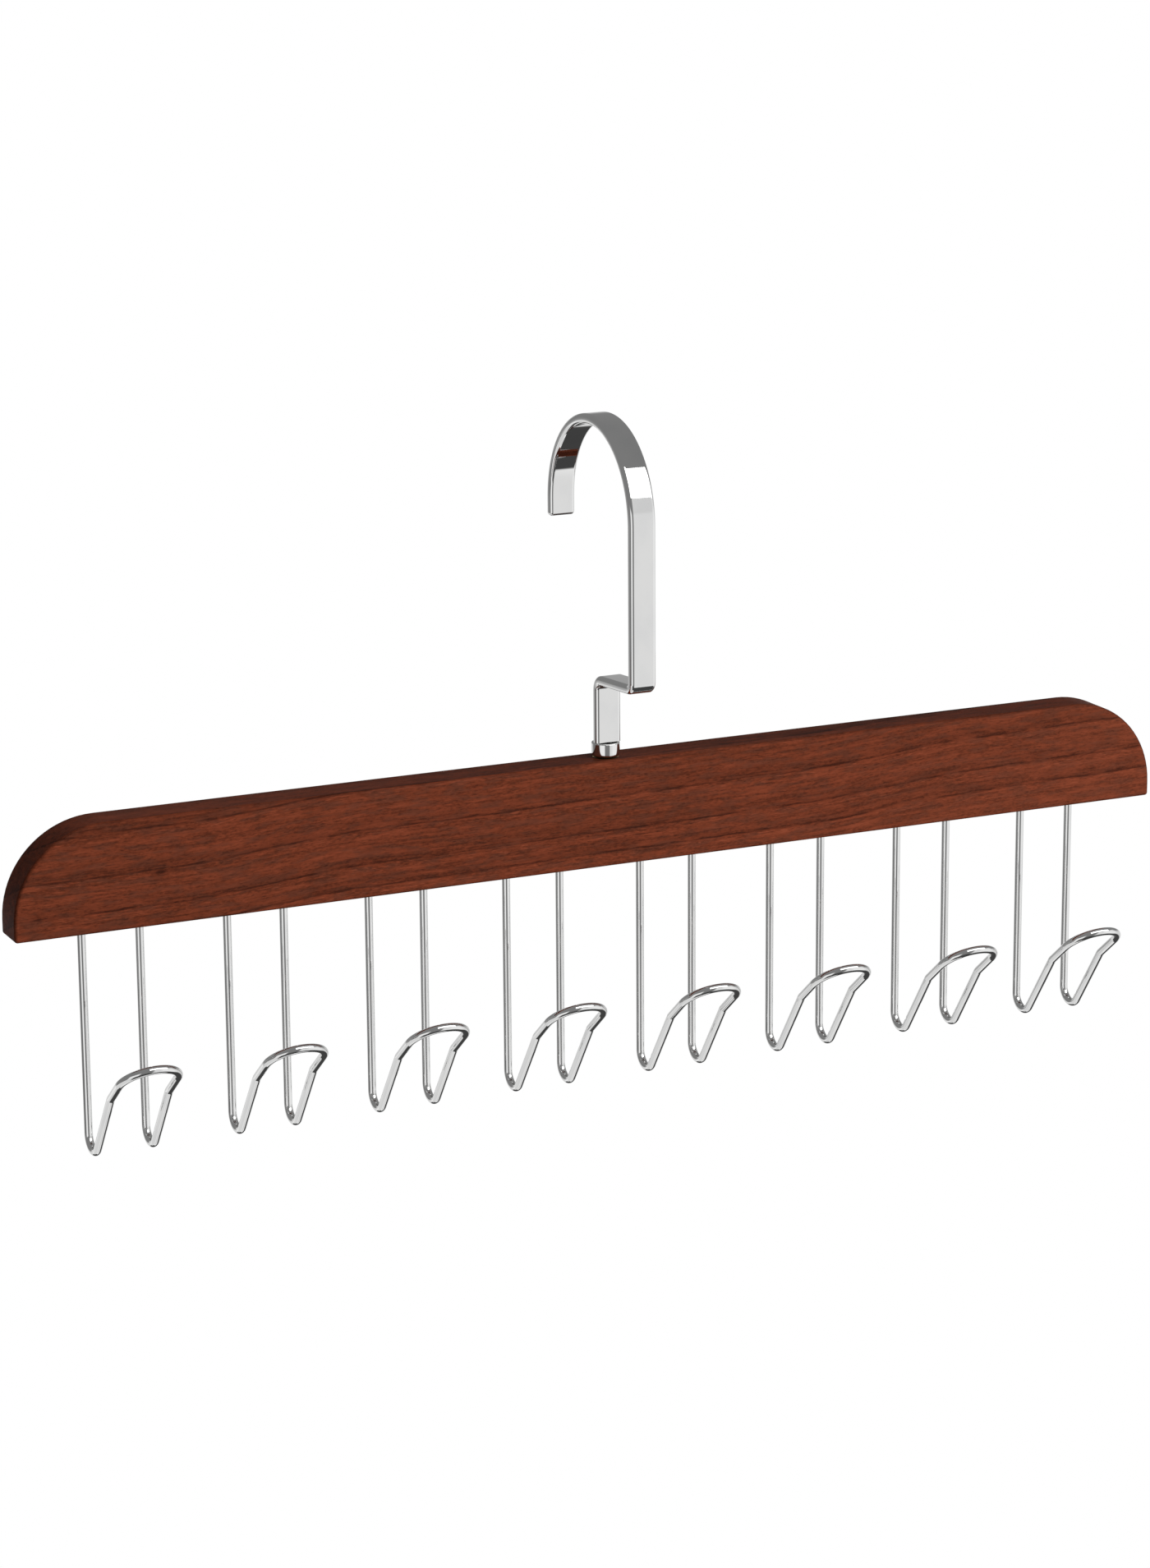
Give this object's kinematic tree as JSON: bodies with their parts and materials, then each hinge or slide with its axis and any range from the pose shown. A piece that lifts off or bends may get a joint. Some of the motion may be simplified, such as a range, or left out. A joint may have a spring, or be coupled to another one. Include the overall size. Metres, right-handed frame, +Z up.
{
  "type": "tie hanger",
  "caption": "Flat wooden bar hanger with a row of bent wire hooks for ties and belts under it, and a flat steel hook that swivels on a collar in the middle.",
  "frame": {"origin": "centre of the rod seat, the round inside of the hanging hook", "axes": "+X along the bar and the rod, +Z up, -Y to the front, where the wire hooks lean out"},
  "size_m": [0.381, 0.0708, 0.2058],
  "materials": {
    "bar_wood": "satin lacquer",
    "chrome": "polished",
    "sleeve_brass": "turned",
    "washer_steel": "plain"
  },
  "bodies": {
    "hanging_hook": {"hook_strip": "chrome", "swivel_stud": "chrome", "thrust_washer": "washer_steel"},
    "hanger_bar": {"bar": "bar_wood", "swivel_sleeve": "sleeve_brass", "wire_hook_1": "chrome", "wire_hook_2": "chrome", "wire_hook_3": "chrome", "wire_hook_4": "chrome", "wire_hook_5": "chrome", "wire_hook_6": "chrome", "wire_hook_7": "chrome", "wire_hook_8": "chrome"}
  },
  "joints": [
    {"name": "bar_swivel", "type": "hinge", "parent": "hanging_hook", "child": "hanger_bar", "pos_m": [0, -0.0028, -0.075], "axis": [0, 0, 1], "continuous": true}
  ]
}
